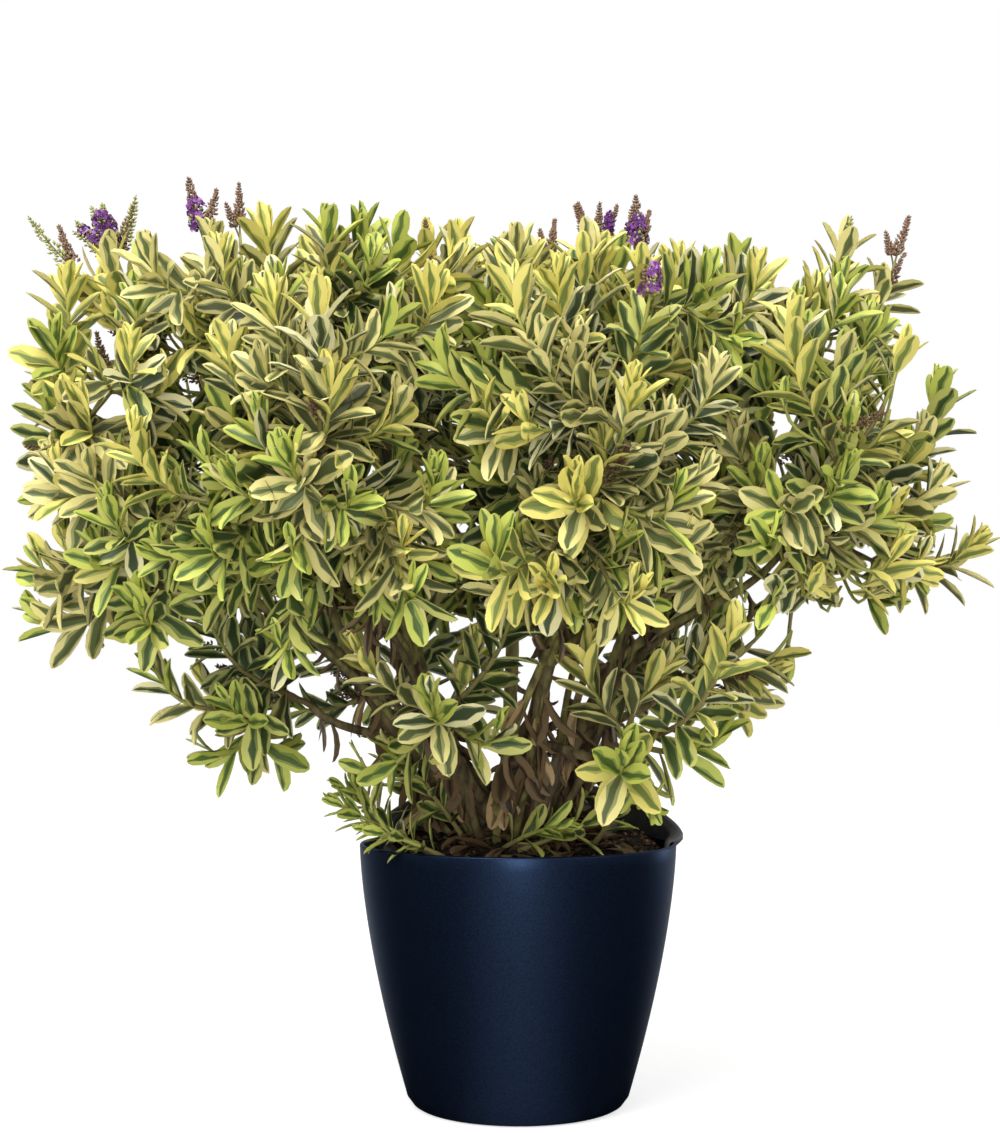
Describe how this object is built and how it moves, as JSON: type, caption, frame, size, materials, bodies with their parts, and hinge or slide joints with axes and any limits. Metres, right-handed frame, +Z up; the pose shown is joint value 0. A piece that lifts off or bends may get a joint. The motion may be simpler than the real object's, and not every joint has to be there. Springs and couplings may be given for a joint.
{
  "type": "potted hebe shrub",
  "caption": "Wide flat-topped evergreen hebe shrub with cream-edged leaves and a few purple flower spikes, in a round dark blue pot.",
  "frame": {"origin": "centre of the cover pot's flat underside", "axes": "+Z up the plant, -Y to its front, +X to its right seen from the front"},
  "size_m": [0.9853, 0.8041, 0.9261],
  "materials": {
    "cover_pot": "satin",
    "nursery_pot": "matte",
    "soil": "matte",
    "bark": "matte",
    "foliage": "satin"
  },
  "bodies": {
    "root": {"pot": "cover_pot", "nursery_pot": "nursery_pot", "soil": "soil", "stool": "bark", "stem_1": "bark", "stem_2": "bark", "stem_3": "bark", "stem_4": "bark", "stem_5": "bark", "stem_6": "bark", "stem_centre": "bark", "bough_top_centre": "bark", "bough_top_1": "bark", "bough_top_2": "bark", "bough_top_3": "bark", "bough_top_4": "bark", "bough_top_5": "bark", "bough_top_6": "bark", "bough_middle_1": "bark", "bough_middle_2": "bark", "bough_middle_3": "bark", "bough_middle_4": "bark", "bough_middle_5": "bark", "bough_middle_6": "bark", "bough_middle_7": "bark", "bough_middle_8": "bark", "bough_middle_9": "bark", "bough_low_1": "bark", "bough_low_2": "bark", "bough_low_3": "bark", "bough_low_4": "bark", "bough_low_5": "bark", "bough_low_6": "bark", "foliage_top_centre": "foliage", "foliage_top_1": "foliage", "foliage_top_2": "foliage", "foliage_top_3": "foliage", "foliage_top_4": "foliage", "foliage_top_5": "foliage", "foliage_top_6": "foliage", "foliage_middle_1": "foliage", "foliage_middle_2": "foliage", "foliage_middle_3": "foliage", "foliage_middle_4": "foliage", "foliage_middle_5": "foliage", "foliage_middle_6": "foliage", "foliage_middle_7": "foliage", "foliage_middle_8": "foliage", "foliage_middle_9": "foliage", "foliage_low_1": "foliage", "foliage_low_2": "foliage", "foliage_low_3": "foliage", "foliage_low_4": "foliage", "foliage_low_5": "foliage", "foliage_low_6": "foliage"}
  },
  "joints": []
}
